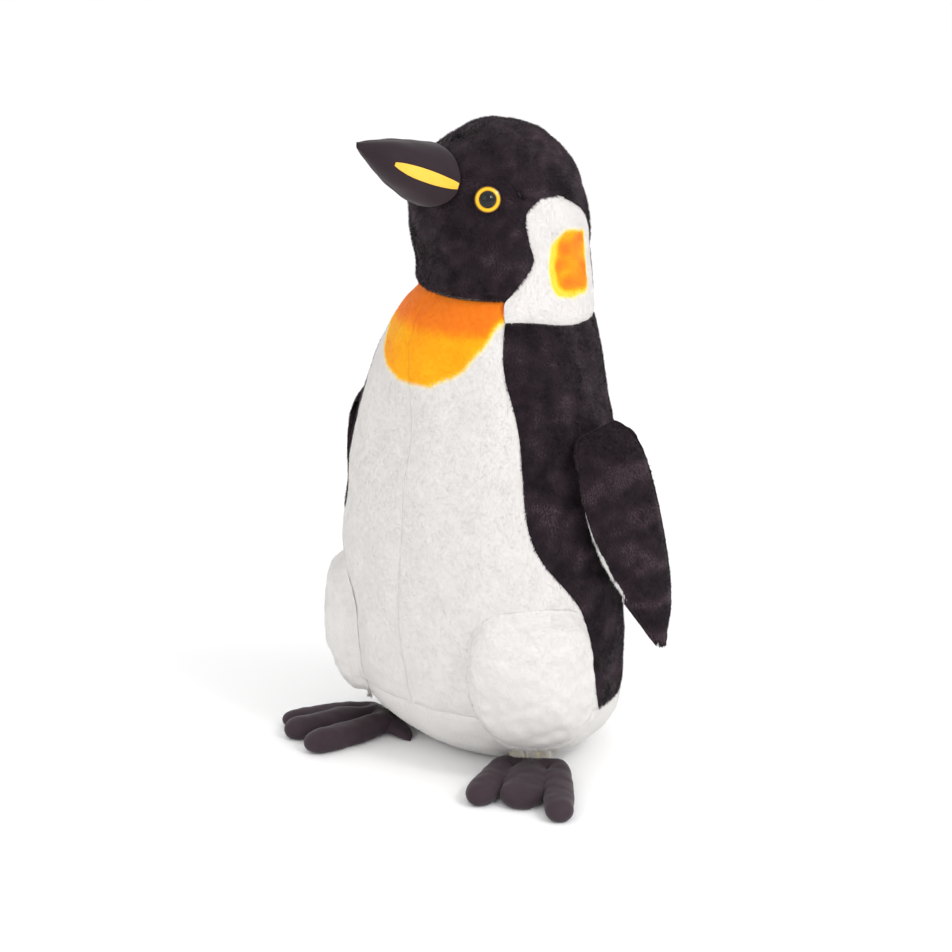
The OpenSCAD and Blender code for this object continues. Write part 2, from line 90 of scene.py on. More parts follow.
SIDES = {"left": 1, "right": -1}
height = cad_box[1].z
hood_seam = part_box("belly_left")[1].z
beak_points = node_points("beak_left")
beak_tip = beak_points[np.argmax(np.hypot(beak_points[:, 0], beak_points[:, 1]))]
beak_root = node_points("beak_stuffing").mean(0)
head_turn = math.atan2(beak_tip[0], -beak_tip[1])
PUPILS = {side: node_points("eye_pupil_" + side).mean(0) for side in SIDES}

# The neck turns between these shares of the height, as in the frame
NECK_LOW = 0.567
NECK_HIGH = 0.75

BODY_NODES = [
    "belly_left", "belly_right", "back_left", "back_right", "base_gusset", "hood_left",
    "hood_right", "crown", "nape", "cheek_left", "cheek_right",
]
WHITE_NODES = {"belly_left", "belly_right", "base_gusset", "cheek_left", "cheek_right"}

# ---------------- numbers and fields


def unit(v):
    return v / np.maximum(np.linalg.norm(v, axis=-1, keepdims=True), 1e-9)


def smooth(t):
    t = np.clip(t, 0, 1)
    return t * t * (3 - 2 * t)


def waves(points, wavelength, seed, count=26):
    """Smooth noise of about unit size: many sine waves in seeded random directions."""
    rng = np.random.default_rng(seed)
    direction = unit(rng.normal(size=(count, 3)))
    k = direction * (2 * math.pi / (wavelength * rng.uniform(0.65, 1.5, count)))[:, None]
    phase = rng.uniform(0, 2 * math.pi, count)
    return np.sin(points @ k.T + phase).sum(1) / math.sqrt(count / 2)


def turn_at(z):
    """Turn of the neck and head about +Z at a height, in radians."""
    share = (z / height - NECK_LOW) / (NECK_HIGH - NECK_LOW)
    return head_turn * smooth(share)


def facing(points):
    """Points turned back so that the penguin's own front is -Y at every height."""
    a = turn_at(points[:, 2])
    x = points[:, 0] * np.cos(a) + points[:, 1] * np.sin(a)
    y = points[:, 1] * np.cos(a) - points[:, 0] * np.sin(a)
    return np.stack([x, y, points[:, 2]], 1)


# ---------------- meshes


class Sheet:
    """A grid-like sheet of cloth: its points and its four-sided faces."""

    def __init__(self, points, quads):
        self.points = points
        self.quads = quads
        edges = np.sort(np.concatenate([quads[:, [i, (i + 1) % 4]] for i in range(4)]), axis=1)
        pairs, counts = np.unique(edges, axis=0, return_counts=True)
        self.rim_edges = pairs[counts == 1]
        self.rim = np.unique(self.rim_edges)
        self.pairs = pairs

    def normals(self):
        p = self.points[self.quads]
        n = np.cross(p[:, 2] - p[:, 0], p[:, 3] - p[:, 1])
        out = np.zeros_like(self.points)
        for i in range(4):
            np.add.at(out, self.quads[:, i], n)
        return unit(out)

    def relax(self, passes, keep_rim=True, back=0.0):
        """Averages each point with its neighbours; the rim stays. With back, each pass is followed
        by a step of that size the other way, which keeps the size and takes out only small bumps."""
        count = np.zeros(len(self.points))
        for i in (0, 1):
            np.add.at(count, self.pairs[:, i], 1)
        steps = [0.5, -back] if back else [0.5]
        for step in steps * passes:
            total = np.zeros_like(self.points)
            np.add.at(total, self.pairs[:, 0], self.points[self.pairs[:, 1]])
            np.add.at(total, self.pairs[:, 1], self.points[self.pairs[:, 0]])
            moved = (1 - step) * self.points + step * total / np.maximum(count, 1)[:, None]
            if keep_rim:
                moved[self.rim] = self.points[self.rim]
            self.points = moved

    def smooth_rim(self, passes):
        """Averages each rim point with its two neighbours along the rim."""
        a, b = self.rim_edges.T
        for _ in range(passes):
            total = np.zeros_like(self.points)
            np.add.at(total, a, self.points[b])
            np.add.at(total, b, self.points[a])
            self.points[self.rim] = 0.5 * self.points[self.rim] + 0.25 * total[self.rim]

    def rim_distance(self):
        """Distance of each point from the rim, and which rim point is nearest."""
        if len(self.rim) == 0:
            return np.full(len(self.points), 1.0), np.zeros(len(self.points), int)
        tree = tree_of(self.points[self.rim])
        found = [tree.find(p) for p in self.points]
        return np.array([f[2] for f in found]), self.rim[np.array([f[1] for f in found])]

    def lift(self, offset):
        """Moves each point along its normal."""
        self.points = self.points + self.normals() * offset[:, None]

    def keep_above(self, lowest):
        self.points[:, 2] = np.maximum(self.points[:, 2], lowest)


def tree_of(points):
    tree = KDTree(len(points))
    for i, p in enumerate(points):
        tree.insert(p, i)
    tree.balance()
    return tree


def surface_of(sheets):
    """One BVH over several sheets."""
    points, faces, first = [], [], 0
    for s in sheets:
        points.append(s.points)
        faces.append(s.quads + first)
        first += len(s.points)
    return BVHTree.FromPolygons(np.concatenate(points).tolist(), np.concatenate(faces).tolist())


def nearest(surface, p):
    """The nearest place on a surface and the normal there."""
    place, normal, _, _ = surface.find_nearest(p)
    return np.array(place), np.array(normal)


def placed(name, data):
    """A new object in the scene."""
    obj = bpy.data.objects.new(name, data)
    bpy.context.scene.collection.objects.link(obj)
    return obj


def bmesh_of(node):
    bm = bmesh.new()
    bm.from_mesh(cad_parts[node].data)
    bmesh.ops.remove_doubles(bm, verts=bm.verts, dist=WELD)
    bm.normal_update()
    return bm


def refined(bm, levels):
    """Points and faces of a bmesh after Catmull-Clark subdivision."""
    mesh = bpy.data.meshes.new("refining")
    bm.to_mesh(mesh)
    obj = placed("refining", mesh)
    modifier = obj.modifiers.new("subdivide", "SUBSURF")
    modifier.levels = levels
    modifier.boundary_smooth = "PRESERVE_CORNERS"
    done = obj.evaluated_get(bpy.context.evaluated_depsgraph_get()).to_mesh()
    points, quads = mesh_points(done), mesh_quads(done)
    bpy.data.objects.remove(obj)
    bpy.data.meshes.remove(mesh)
    return points, quads


def outer_sheet(node, assembly, levels=3, thinnest=0.4 * MM, thickest=6 * MM, look=14 * MM):
    """The outside of a panel's CAD shell, made smooth. A face is on the outside if the panel is
    thin behind it and nothing of the assembly is in front of it."""
    bm = bmesh_of(node)
    own = BVHTree.FromBMesh(bm)
    others = [bmesh_of(other) for other in assembly if other != node]
    trees = [own] + [BVHTree.FromBMesh(other) for other in others]
    gone = []
    for face in bm.faces:
        c, n = face.calc_center_median(), face.normal
        back = own.ray_cast(c - n * 0.05 * MM, -n, thickest)[3]
        blocked = any(t.ray_cast(c + n * 0.05 * MM, n, look)[0] for t in trees)
        if back is None or back < thinnest or blocked:
            gone.append(face)
    bmesh.ops.delete(bm, geom=gone, context="FACES")
    keep_largest(bm)
    bmesh.ops.join_triangles(
        bm, faces=bm.faces, angle_face_threshold=math.radians(50),
        angle_shape_threshold=math.radians(100),
    )
    sheet = Sheet(*refined(bm, levels))
    for used in [bm, *others]:
        used.free()
    sheet.relax(4)
    return sheet


def keep_largest(bm):
    """Deletes all but the largest connected set of faces."""
    left, islands = set(bm.faces), []
    while left:
        stack, island = [left.pop()], []
        while stack:
            f = stack.pop()
            island.append(f)
            for e in f.edges:
                for g in e.link_faces:
                    if g in left:
                        left.remove(g)
                        stack.append(g)
        islands.append(island)
    islands.sort(key=len)
    for island in islands[:-1]:
        bmesh.ops.delete(bm, geom=island, context="FACES")


def sew(sheets, reach=7 * MM, spread=12 * MM):
    """Moves the rims of neighbouring sheets to the middle of the gap between them."""
    shifts = []
    for s in sheets:
        rims = [o.points[o.rim] for o in sheets if o is not s and len(o.rim)]
        others = np.concatenate(rims)
        tree = tree_of(others)
        shift = np.zeros_like(s.points)
        for i in s.rim:
            _, k, d = tree.find(s.points[i])
            if d < reach:
                shift[i] = (others[k] - s.points[i]) / 2
        shifts.append(shift)
    for s, shift in zip(sheets, shifts):
        d, near = s.rim_distance()
        s.points = s.points + shift[near] * (np.maximum(0, 1 - d / spread) ** 2)[:, None]


def mesh_object(name, points, faces, materials, body, slots=None, normals=None, tint=None):
    """Makes an object from arrays. faces has one row per face, and body may be None for a piece
    that rides on no body."""
    mesh = bpy.data.meshes.new(name)
    sides = faces.shape[1]
    mesh.vertices.add(len(points))
    mesh.vertices.foreach_set("co", np.asarray(points, np.float32).ravel())
    mesh.loops.add(faces.size)
    mesh.loops.foreach_set("vertex_index", np.asarray(faces, np.int32).ravel())
    mesh.polygons.add(len(faces))
    mesh.polygons.foreach_set("loop_start", np.arange(0, faces.size, sides, dtype=np.int32))
    for m in materials:
        mesh.materials.append(m)
    if slots is not None:
        mesh.polygons.foreach_set("material_index", np.asarray(slots, np.int32))
    mesh.update(calc_edges=True)
    mesh.validate()
    mesh.polygons.foreach_set("use_smooth", np.ones(len(mesh.polygons), bool))
    if normals is not None:
        mesh.normals_split_custom_set_from_vertices(normals.tolist())
    if tint is not None:
        attribute = mesh.color_attributes.new("dye", "FLOAT_COLOR", "POINT")
        rgba = np.ones((len(points), 4), np.float32)
        rgba[:, :3] = tint
        attribute.data.foreach_set("color", rgba.ravel())
    obj = placed(name, mesh)
    if body is not None:
        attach(obj, body)
    return obj


# ---------------- colours and materials


def srgb(r, g, b):
    return tuple((c / 255 / 12.92) if c / 255 < 0.04045 else ((c / 255 + 0.055) / 1.055) ** 2.4
                 for c in (r, g, b))


# Airbrush colours, from bare white pile to the deepest orange
DYES = [srgb(*c) for c in (
    (221, 218, 216), (240, 228, 190), (248, 219, 74), (247, 192, 24),
    (248, 172, 10), (244, 144, 12), (240, 126, 22),
)]
# Black pile from darkest to lightest. The lighter tones are painted sheen, laid in soft lighter areas
# and bands over the black pile where the nap would catch the light.
BLACKS = [srgb(*c) for c in ((20, 10, 16), (35, 24, 31), (53, 40, 48), (75, 60, 68))]
WHITES = [srgb(*c) for c in ((226, 224, 222), (228, 226, 224), (230, 228, 226))]


class Nodes:
    """Short way to wire a material's nodes."""

    def __init__(self, name):
        self.material = bpy.data.materials.new(name)
        self.material.use_nodes = True
        self.tree = self.material.node_tree
        self.shader = self.tree.nodes["Principled BSDF"]

    def add(self, kind, **values):
        node = self.tree.nodes.new("ShaderNode" + kind)
        for key, value in values.items():
            if key in node.inputs:
                node.inputs[key].default_value = value
            else:
                setattr(node, key, value)
        return node

    def link(self, a, b):
        self.tree.links.new(a, b)

    def noise(self, scale, detail=3.0, rough=0.55, stretch=(1, 1, 1)):
        place = self.add("TexCoord")
        mapping = self.add("Mapping", Scale=stretch)
        noise = self.add("TexNoise", Scale=scale, Detail=detail, Roughness=rough)
        self.link(place.outputs["Object"], mapping.inputs["Vector"])
        self.link(mapping.outputs["Vector"], noise.inputs["Vector"])
        return noise.outputs["Fac"]

    def ramp(self, fac, stops):
        ramp = self.add("ValToRGB")
        while len(ramp.color_ramp.elements) < len(stops):
            ramp.color_ramp.elements.new(0.5)
        for element, (place, colour) in zip(ramp.color_ramp.elements, stops):
            element.position = place
            element.color = (*colour, 1)
        self.link(fac, ramp.inputs["Fac"])
        return ramp.outputs["Color"]

    def bump(self, height_out, distance, strength=1.0, below=None):
        bump = self.add("Bump", Distance=distance, Strength=strength)
        self.link(height_out, bump.inputs["Height"])
        if below is not None:
            self.link(below, bump.inputs["Normal"])
        return bump.outputs["Normal"]

    def finish(self, normal=None, colour=None, **values):
        for key, value in values.items():
            self.shader.inputs[key.replace("_", " ")].default_value = value
        if normal is not None:
            self.link(normal, self.shader.inputs["Normal"])
        if colour is not None:
            self.link(colour, self.shader.inputs["Base Color"])
        return self.material


def pile_material(name, colour, sheen, sheen_colour, bump=0.5):
    n = Nodes(name)
    fibre = n.noise(900, 2)
    return n.finish(
        n.bump(fibre, 0.3 * MM, bump), Base_Color=(*colour, 1), Roughness=0.85,
        Sheen_Weight=sheen, Sheen_Roughness=0.45, Sheen_Tint=(*sheen_colour, 1),
        Specular_IOR_Level=0.25,
    )


def backing_material(name, dark, light, sheen, dyed=False, crush=1.5 * MM):
    """Cloth under the pile, with the same colour, mottled with painted sheen where the nap is
    crushed; the same noise also bumps it.
    """
    n = Nodes(name)
    patches = n.noise(45, 2, 0.5)
    colour = n.ramp(patches, [(0.3, dark), (0.7, light)])
    if dyed:
        dye = n.add("Attribute", attribute_name="dye")
        mix = n.add("Mix", data_type="RGBA", blend_type="MULTIPLY")
        mix.inputs["Factor"].default_value = 1.0
        n.link(dye.outputs["Color"], mix.inputs[6])
        n.link(colour, mix.inputs[7])
        colour = mix.outputs[2]
    coarse = n.bump(patches, crush, 0.5)
    fine = n.bump(n.noise(700, 3), 0.3 * MM, 0.5, coarse)
    return n.finish(fine, colour, Roughness=0.9, Sheen_Weight=sheen, Sheen_Roughness=0.5,
                    Specular_IOR_Level=0.2)


def suede_material(name, dark, light):
    """Short-napped smooth cloth of the beak and the feet."""
    n = Nodes(name)
    cloud = n.noise(28, 4, 0.6)
    colour = n.ramp(cloud, [(0.25, dark), (0.75, light)])
    grain = n.noise(1400, 3, 0.7)
    rub = n.bump(n.noise(70, 3, 0.5), 0.4 * MM, 0.25)
    return n.finish(n.bump(grain, 0.12 * MM, 0.6, rub), colour, Roughness=0.78,
                    Sheen_Weight=0.15, Sheen_Roughness=0.4, Specular_IOR_Level=0.25)


def plastic_material(name, colour, roughness, gloss=0.4):
    n = Nodes(name)
    mould = n.noise(300, 2)
    tone = n.ramp(mould, [(0.3, tuple(c * 0.94 for c in colour)), (0.7, colour)])
    return n.finish(n.bump(mould, 0.01 * MM, 0.2), tone, Roughness=roughness,
                    Specular_IOR_Level=gloss)


def wadding_material(name, dark, light):
    n = Nodes(name)
    tufts = n.noise(160, 6, 0.7)
    colour = n.ramp(tufts, [(0.3, dark), (0.7, light)])
    return n.finish(n.bump(tufts, 1.5 * MM, 0.9), colour, Roughness=0.95, Sheen_Weight=0.4)


def weave_material(name, dark, light, pitch):
    n = Nodes(name)
    place = n.add("TexCoord")
    bands = []
    for direction in ("X", "Z"):
        wave = n.add("TexWave", Scale=1 / pitch / 6.28, wave_type="BANDS",
                     bands_direction=direction)
        n.link(place.outputs["Object"], wave.inputs["Vector"])
        bands.append(wave.outputs["Fac"])
    both = n.add("Math", operation="MULTIPLY")
    n.link(bands[0], both.inputs[0])
    n.link(bands[1], both.inputs[1])
    colour = n.ramp(both.outputs[0], [(0.0, dark), (0.8, light)])
    return n.finish(n.bump(both.outputs[0], 0.3 * MM, 0.8), colour, Roughness=0.9)


BLACK_SHEEN = srgb(160, 140, 152)
WHITE_SHEEN = srgb(255, 252, 248)
dye_pile = [pile_material(f"airbrushed_pile_{i}", c, 0.06, WHITE_SHEEN, 0.2)
            for i, c in enumerate(DYES)]
white_pile = [pile_material(f"white_pile_{i}", c, 0.08, WHITE_SHEEN, 0.2)
              for i, c in enumerate(WHITES)]
black_pile = [pile_material(f"black_pile_{i}", c, 0.12, BLACK_SHEEN)
              for i, c in enumerate(BLACKS)]
# Both backings carry a painted sheen mottle: faint on the white, stronger on the black.
white_backing = backing_material("white_backing", (0.98, 0.97, 0.96), (1, 1, 1), 0.08, dyed=True,
                                 crush=0.3 * MM)
black_backing = backing_material("black_backing", srgb(22, 13, 18), srgb(42, 31, 38), 0.12)
beak_suede = suede_material("beak_suede", srgb(38, 27, 33), srgb(49, 37, 43))
suede = suede_material("charcoal_suede", srgb(48, 36, 42), srgb(64, 51, 58))
felt = suede_material("yellow_felt", srgb(246, 186, 58), srgb(255, 204, 84))
eye_black = plastic_material("eye_black", srgb(4, 4, 5), 0.05)
washer_plastic = plastic_material("washer_plastic", srgb(225, 225, 220), 0.4)
wadding = wadding_material("wadding", srgb(222, 219, 212), srgb(250, 249, 245))
bag_cloth = weave_material("bag_cloth", srgb(168, 150, 120), srgb(214, 200, 172), 1.2 * MM)

# ---------------- dye: bib and cheek spots

BIB_HALF = 75.5 * MM
BIB_DEPTH = 54.5 * MM
BIB_MIDDLE = hood_seam - 25 * MM
BIB_POWER = 1.9
BIB_LEAN = math.radians(2.1)
SPOT_AZIMUTH = math.radians(134)
SPOT_HALF_ANGLE = math.radians(17.5)
SPOT_MIDDLE = hood_seam + 26 * MM
SPOT_HALF = 29 * MM
SPOT_POWER = 3.6


def bib_strength(points):
    """1 inside the bib, falling to 0 over its soft edge."""
    p = facing(points)
    x = p[:, 0] * math.cos(BIB_LEAN) + p[:, 1] * math.sin(BIB_LEAN)
    side = np.abs(x) / BIB_HALF
    down = np.maximum(0, BIB_MIDDLE - p[:, 2]) / BIB_DEPTH
    r = (side**BIB_POWER + down**BIB_POWER) ** (1 / BIB_POWER)
    r = r + 0.014 * waves(points, 30 * MM, 5)
    front = smooth((-p[:, 1] - 4 * MM) / (10 * MM))
    below = p[:, 2] < hood_seam + 8 * MM
    return smooth((1.03 - r) / 0.1) * front * below


def squarish(across, up):
    """Distance from a spot's middle, as a share of the way to its rounded square edge."""
    return (np.abs(across) ** SPOT_POWER + np.abs(up) ** SPOT_POWER) ** (1 / SPOT_POWER)


def spot_strength(points):
    """How orange and how yellow the cheek spots are: two shares from 0 to 1."""
    p = facing(points)
    azimuth = np.abs(np.arctan2(p[:, 0], -p[:, 1]))
    up = (p[:, 2] - SPOT_MIDDLE) / SPOT_HALF
    across = (azimuth - SPOT_AZIMUTH) / SPOT_HALF_ANGLE - 0.15 * up
    wobble = 0.03 * waves(points, 22 * MM, 6)
    orange = smooth((1.0 - squarish(across, up) + wobble) / 0.2)
    yellow = smooth((1.1 - squarish(across + 0.2, up + 0.1) + wobble) / 0.16)
    inside = p[:, 2] > hood_seam - 15 * MM
    return orange * inside, yellow * inside


def dye_level(points, bib_share=1.0):
    """Place of each point on the DYES scale. The bib is only on the belly panels."""
    bib = bib_strength(points)
    rise = (points[:, 2] - (BIB_MIDDLE - BIB_DEPTH)) / (hood_seam - BIB_MIDDLE + BIB_DEPTH)
    tone = 4.0 + 2.0 * smooth((rise - 0.52) / 0.18) + 0.12 * waves(points, 35 * MM, 8)
    level = bib * tone * bib_share
    orange, yellow = spot_strength(points)
    spot = 2.2 * yellow + orange * (3.1 + 0.45 * waves(points, 18 * MM, 9))
    return np.clip(np.maximum(level, spot), 0, len(DYES) - 1.001)


def dye_colour(points, bib_share=1.0):
    level = dye_level(points, bib_share)
    low = level.astype(int)
    share = (level - low)[:, None]
    table = np.array(DYES)
    return table[low] * (1 - share) + table[np.minimum(low + 1, len(DYES) - 1)] * share


# ---------------- pile

PILE_LOWEST = 0.2 * MM
TUFT_SPREAD = 0.28


def drawn_points(sheet, per_mm2, rng):
    """Random points spread evenly over a sheet: places, normals, and faces they lie on."""
    quads = sheet.quads
    triangles = np.concatenate([quads[:, [0, 1, 2]], quads[:, [0, 2, 3]]])
    p = sheet.points[triangles]
    area = np.linalg.norm(np.cross(p[:, 1] - p[:, 0], p[:, 2] - p[:, 0]), axis=1) / 2
    count = int(area.sum() / MM**2 * per_mm2)
    picked = rng.choice(len(triangles), count, p=area / area.sum())
    a, b = rng.random(count), rng.random(count)
    flip = a + b > 1
    a[flip], b[flip] = 1 - a[flip], 1 - b[flip]
    w = np.stack([1 - a - b, a, b], 1)[:, :, None]
    n = sheet.normals()[triangles[picked]]
    return (p[picked] * w).sum(1), unit((n * w).sum(1))


def tangent(v, n):
    return unit(v - (v * n).sum(1, keepdims=True) * n)


def blades(name, base, side, tip, lowest, outward, shading, materials, slots, body):
    """Narrow three-cornered blades, each wound so that it faces outward."""
    points = np.stack([base - side, base + side, tip], 1)
    points[:, :, 2] = np.maximum(points[:, :, 2], lowest)
    faced = np.cross(points[:, 1] - points[:, 0], points[:, 2] - points[:, 0])
    turned = (faced * outward).sum(1) < 0
    points[turned] = points[turned][:, [1, 0, 2]]
    faces = np.arange(len(base) * 3).reshape(-1, 3)
    return mesh_object(name, points.reshape(-1, 3), faces, materials, body, slots=slots,
                       normals=np.repeat(shading, 3, axis=0))


def pile(name, sheet, body, slot, materials, shade, flow, rng, per_mm2=1.4, length=3.4 * MM,
         width=0.6 * MM, lie=36, unrest=1.0, keep=None):
    """Tufts of pile over a sheet: narrow three-cornered blades that lean along the nap. unrest is
    how much the nap swirls, and how much each tuft is shaded by its own side."""
    roots, normals = drawn_points(sheet, per_mm2, rng)
    if keep is not None:
        kept = keep(roots)
        roots, normals = roots[kept], normals[kept]
    count = len(roots)
    nap = tangent(flow(roots), normals)
    side = np.cross(normals, nap)
    swirl = 0.35 * waves(roots, 40 * MM, 21) + 0.2 * waves(roots, 13 * MM, 22)
    swirl = (unrest * swirl + rng.normal(0, 0.3, count))[:, None]
    c, s = np.cos(swirl), np.sin(swirl)
    nap, side = nap * c + side * s, side * c - nap * s
    patch = 7 * waves(roots, 26 * MM, 23) + 4 * waves(roots, 9 * MM, 24)
    lean = lie + unrest * patch + rng.normal(0, 7, count)
    lean = np.radians(np.clip(lean, 8, 70))[:, None]
    along = nap * np.cos(lean) + normals * np.sin(lean)
    roll = rng.normal(0, 0.15 + 0.3 * unrest, count)[:, None]
    up = np.cross(along, side)
    blade_side = side * np.cos(roll) + up * np.sin(roll)
    long = (length * rng.uniform(0.65, 1.2, count))[:, None]
    half = (width * rng.uniform(0.7, 1.2, count) / 2)[:, None]
    base = roots - normals * 0.4 * MM
    face_out = np.cross(blade_side, along)
    face_out = face_out * np.sign((face_out * normals).sum(1, keepdims=True))
    shading = unit(0.3 * unrest * face_out + 0.85 * normals)
    obj = blades(name, base, blade_side * half, base + along * long, PILE_LOWEST, normals, shading,
                 materials, shade(roots, rng), body)


def nearest_slot(level, count):
    return np.clip(np.round(level), 0, count - 1).astype(int)


# Painted sheen: the black pile's tone lifts and falls in soft areas and upright streaks where the nap
# would catch the lamps' light, with a random spread between tufts.
def shade_black_sheen(points, rng):
    level = 1.2 + 0.75 * waves(points * (1, 1, 1.4), 42 * MM, 31) + 0.4 * waves(points, 13 * MM, 32)
    return nearest_slot(level + rng.normal(0, TUFT_SPREAD, len(points)), len(BLACKS))


def shade_flipper_sheen(points, rng):
    """Painted sheen: broad lighter and darker bands across the flipper where the nap is stroked up or
    down.
    """
    bands = 1.5 * waves(points * (0.6, 0.6, 1.4), 50 * MM, 34)
    level = 1.35 + bands + 0.4 * waves(points, 14 * MM, 35)
    return nearest_slot(level + rng.normal(0, TUFT_SPREAD, len(points)), len(BLACKS))


# Faint painted sheen: the white pile's tone lifts and falls slightly over about 35 mm, with a random
# spread between tufts.
def shade_white(points, rng):
    level = 1 + 0.35 * waves(points, 35 * MM, 33) + rng.normal(0, 0.45, len(points))
    return nearest_slot(level, len(WHITES))


def shade_dyed(points, rng, bib_share=1.0):
    """Slot of the airbrushed pile; the fraction between two dyes becomes a mix of their tufts."""
    level = dye_level(points, bib_share)
    return np.clip(np.floor(level + rng.random(len(points)) * 0.98), 0, len(DYES) - 1).astype(int)


def shade_cheek(points, rng):
    return shade_dyed(points, rng, bib_share=0.0)


def flow_down(points):
    out = np.zeros_like(points)
    out[:, 2] = -1
    centre = points.copy()
    centre[:, 2] = 0
    return out + 0.1 * unit(centre)


def flow_head(points):
    """Back from the beak over the crown, and down at the sides and the throat."""
    away = unit(points - (beak_root - np.array([0, 0, 4 * MM])))
    down = np.array([0, 0, -1.0])
    high = smooth((points[:, 2] - (hood_seam + 60 * MM)) / (50 * MM))[:, None]
    return away * (0.35 + 0.65 * high) + down * (1 - 0.75 * high)


# ---------------- body panels

panels = {node: outer_sheet(node, BODY_NODES + ["body_stuffing", "head_stuffing", "pellet_bag"])
          for node in BODY_NODES}
sew(list(panels.values()))

PILE_STAND = 2.2 * MM

DOME_REACH = math.radians(66)
DOME_CELLS = 45
DOME_PASSES = 40
DOME_RISE = 0.02
DOME_FALL = 0.034
DOME_WIDTH = 0.32


def bilinear(grid, axis, u, v):
    """Values of a square grid at places between its points."""
    step = axis[1] - axis[0]
    i = np.clip((u - axis[0]) / step, 0, len(axis) - 1.001)
    j = np.clip((v - axis[0]) / step, 0, len(axis) - 1.001)
    a, b = i.astype(int), j.astype(int)
    s, t = i - a, j - b
    low = grid[a, b] * (1 - t) + grid[a, b + 1] * t
    high = grid[a + 1, b] * (1 - t) + grid[a + 1, b + 1] * t
    return low * (1 - s) + high * s


def round_crown(sheets):
    """Evens out the top of the head: each point moves along its line from the head's middle to the
    surface's smoothed distance there, a little further at the back and less far in front."""
    surface = surface_of(sheets)
    middle = np.array([0, 0, height - 110 * MM])
    axis = np.linspace(-DOME_REACH, DOME_REACH, DOME_CELLS)
    reach = np.zeros((DOME_CELLS, DOME_CELLS))
    for i, u in enumerate(axis):
        for j, v in enumerate(axis):
            tilt = max(math.hypot(u, v), 1e-6)
            ray = np.array([math.sin(tilt) * u / tilt, math.sin(tilt) * v / tilt, math.cos(tilt)])
            hit = surface.ray_cast(middle + ray * height / 2, -ray)
            reach[i, j] = height / 2 - hit[3] if hit[0] is not None else np.nan
    reach[np.isnan(reach) | (reach < 60 * MM)] = np.nanmedian(reach)
    even = reach.copy()
    for _ in range(DOME_PASSES):
        for _ in (0, 1):
            wide = np.pad(even, ((1, 1), (0, 0)), mode="edge")
            even = ((wide[:-2] + 2 * wide[1:-1] + wide[2:]) / 4).T
    for sheet in sheets:
        d = sheet.points - middle
        tilt = np.arctan2(np.hypot(d[:, 0], d[:, 1]), d[:, 2])
        flat = unit(d[:, :2])
        u, v = flat[:, 0] * tilt, flat[:, 1] * tilt
        ahead = u * math.sin(head_turn) - v * math.cos(head_turn)
        across = u * math.cos(head_turn) + v * math.sin(head_turn)
        behind = np.exp(-(((ahead + 0.42) ** 2 + across**2) / DOME_WIDTH**2))
        before = np.exp(-(((ahead - 0.12) ** 2 + across**2) / DOME_WIDTH**2))
        change = bilinear(even / reach, axis, u, v) - 1 + DOME_RISE * behind - DOME_FALL * before
        fade = 1 - smooth((tilt - math.radians(34)) / math.radians(24))
        sheet.points = middle + d * (1 + change * fade)[:, None]


round_crown(list(panels.values()))


def seam_pull(node, sheet, near):
    """How far the cloth is drawn in at its nearest seam: most where black meets white."""
    rim = sheet.points[near]
    middle = np.abs(facing(rim)[:, 0]) < 6 * MM
    pull = np.where(middle, 0.15 * MM, 1.5 * MM)
    if node in ("crown", "nape"):
        pull = np.full(len(near), 0.5 * MM)
    if node.startswith("hood"):
        pull = np.where(rim[:, 2] > hood_seam + 95 * MM, 0.4 * MM, np.minimum(pull, 1.0 * MM))
    return pull


def shaped(node, sheet):
    """Cloth's own form: sunk under the pile, drawn in at its seams, a little lumpy inside."""
    d, near = sheet.rim_distance()
    p = sheet.points
    offset = -PILE_STAND + 1.0 * MM * (1 - np.exp(-d / (14 * MM)))
    offset = offset - seam_pull(node, sheet, near) * np.exp(-((d / (3.5 * MM)) ** 2))
    calm = smooth(p[:, 2] / (30 * MM))
    offset = offset + calm * (1.0 * MM * waves(p, 75 * MM, 1) + 0.15 * MM * waves(p, 22 * MM, 2))
    if node.startswith("belly"):
        offset = offset - 5.5 * MM * np.exp(-(((hood_seam - p[:, 2]) / (15 * MM)) ** 2))
    if node.startswith("hood"):
        offset = offset - 2.5 * MM * np.exp(-(((p[:, 2] - hood_seam) / (4 * MM)) ** 2))
    sheet.lift(offset)
    sheet.keep_above(0.3 * MM)


for node, sheet in panels.items():
    shaped(node, sheet)


def hemmed(sheet, depth):
    """Adds a turned-in hem along the sheet's rim, so that a seam has no gap."""
    n = sheet.normals()
    rim = sheet.rim
    place = {v: i for i, v in enumerate(rim)}
    inner = sheet.points[rim] - n[rim] * depth
    first = len(sheet.points)
    directed = set()
    for i in range(4):
        directed.update(map(tuple, sheet.quads[:, [i, (i + 1) % 4]].tolist()))
    hem = []
    for a, b in sheet.rim_edges.tolist():
        if (a, b) not in directed:
            a, b = b, a
        hem.append([b, a, first + place[a], first + place[b]])
    return np.concatenate([sheet.points, inner]), np.concatenate([sheet.quads, np.array(hem)])


def skin(name, node, sheet, material, body, dyed=False, hem=4 * MM, tint=None):
    """One panel as an object; tint is a colour for each point of the sheet."""
    points, quads = hemmed(sheet, hem) if len(sheet.rim) else (sheet.points, sheet.quads)
    if tint is not None:
        tint = np.concatenate([tint, tint[sheet.rim]])
    elif dyed:
        tint = dye_colour(points, 0.0 if "cheek" in node else 1.0)
    obj = mesh_object(name, points, quads, [material], body, tint=tint)
    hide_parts(node)


EYE_CLEAR = 12.6 * MM


def clear_of_eyes(points):
    kept = np.ones(len(points), bool)
    for middle in PUPILS.values():
        kept &= np.linalg.norm(points - middle, axis=1) > EYE_CLEAR
    return kept


def not_underneath(points):
    return points[:, 2] > 1.2 * MM


# The white pile lies flatter and is more even than the black
SMOOTH_NAP = {"length": 3.0 * MM, "lie": 17, "unrest": 0.15, "per_mm2": 1.8}


